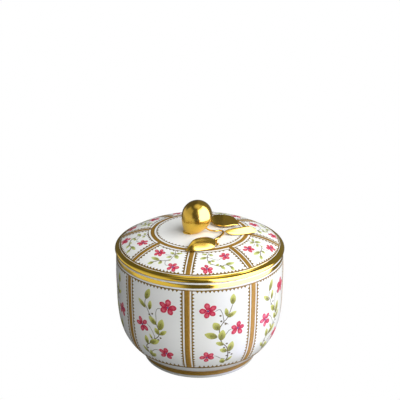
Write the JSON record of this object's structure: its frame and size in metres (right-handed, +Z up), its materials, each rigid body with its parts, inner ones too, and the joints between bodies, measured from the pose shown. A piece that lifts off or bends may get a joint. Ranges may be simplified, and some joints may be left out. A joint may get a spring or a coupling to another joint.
{
  "type": "covered sugar bowl",
  "caption": "Round porcelain sugar bowl on a low foot ring, with a domed lift-off lid whose knob is a gilded fruit on a leafy stem.",
  "frame": {"origin": "on the bowl's axis, on the plane that the foot ring stands on", "axes": "+Z up along the bowl's axis; the front, where the knob's front leaf lies, is towards -Y; +X is to the right"},
  "size_m": [0.1, 0.1, 0.0999],
  "materials": {
    "porcelain": "glossy clear glaze over white porcelain",
    "gilding": "bright gold fired over the glaze",
    "flat_gilding": "matt gold fired over the glaze",
    "enamel_red": "glossy crimson enamel decoration",
    "enamel_green": "glossy green enamel decoration",
    "enamel_brown": "glossy brown enamel decoration"
  },
  "bodies": {
    "bowl": {"bowl": "porcelain", "foot_ring": "porcelain"},
    "lid": {"lid": "porcelain", "lid_flange": "porcelain", "fruit_knob": "gilding", "sprig_stem": "gilding", "sprig_twig": "gilding", "front_leaf": "gilding", "side_leaf": "gilding", "back_leaf": "gilding"}
  },
  "joints": [
    {"name": "lid_lift", "type": "slide", "parent": "bowl", "child": "lid", "axis": [0, 0, 1], "range_m": [0, 0.06]}
  ]
}
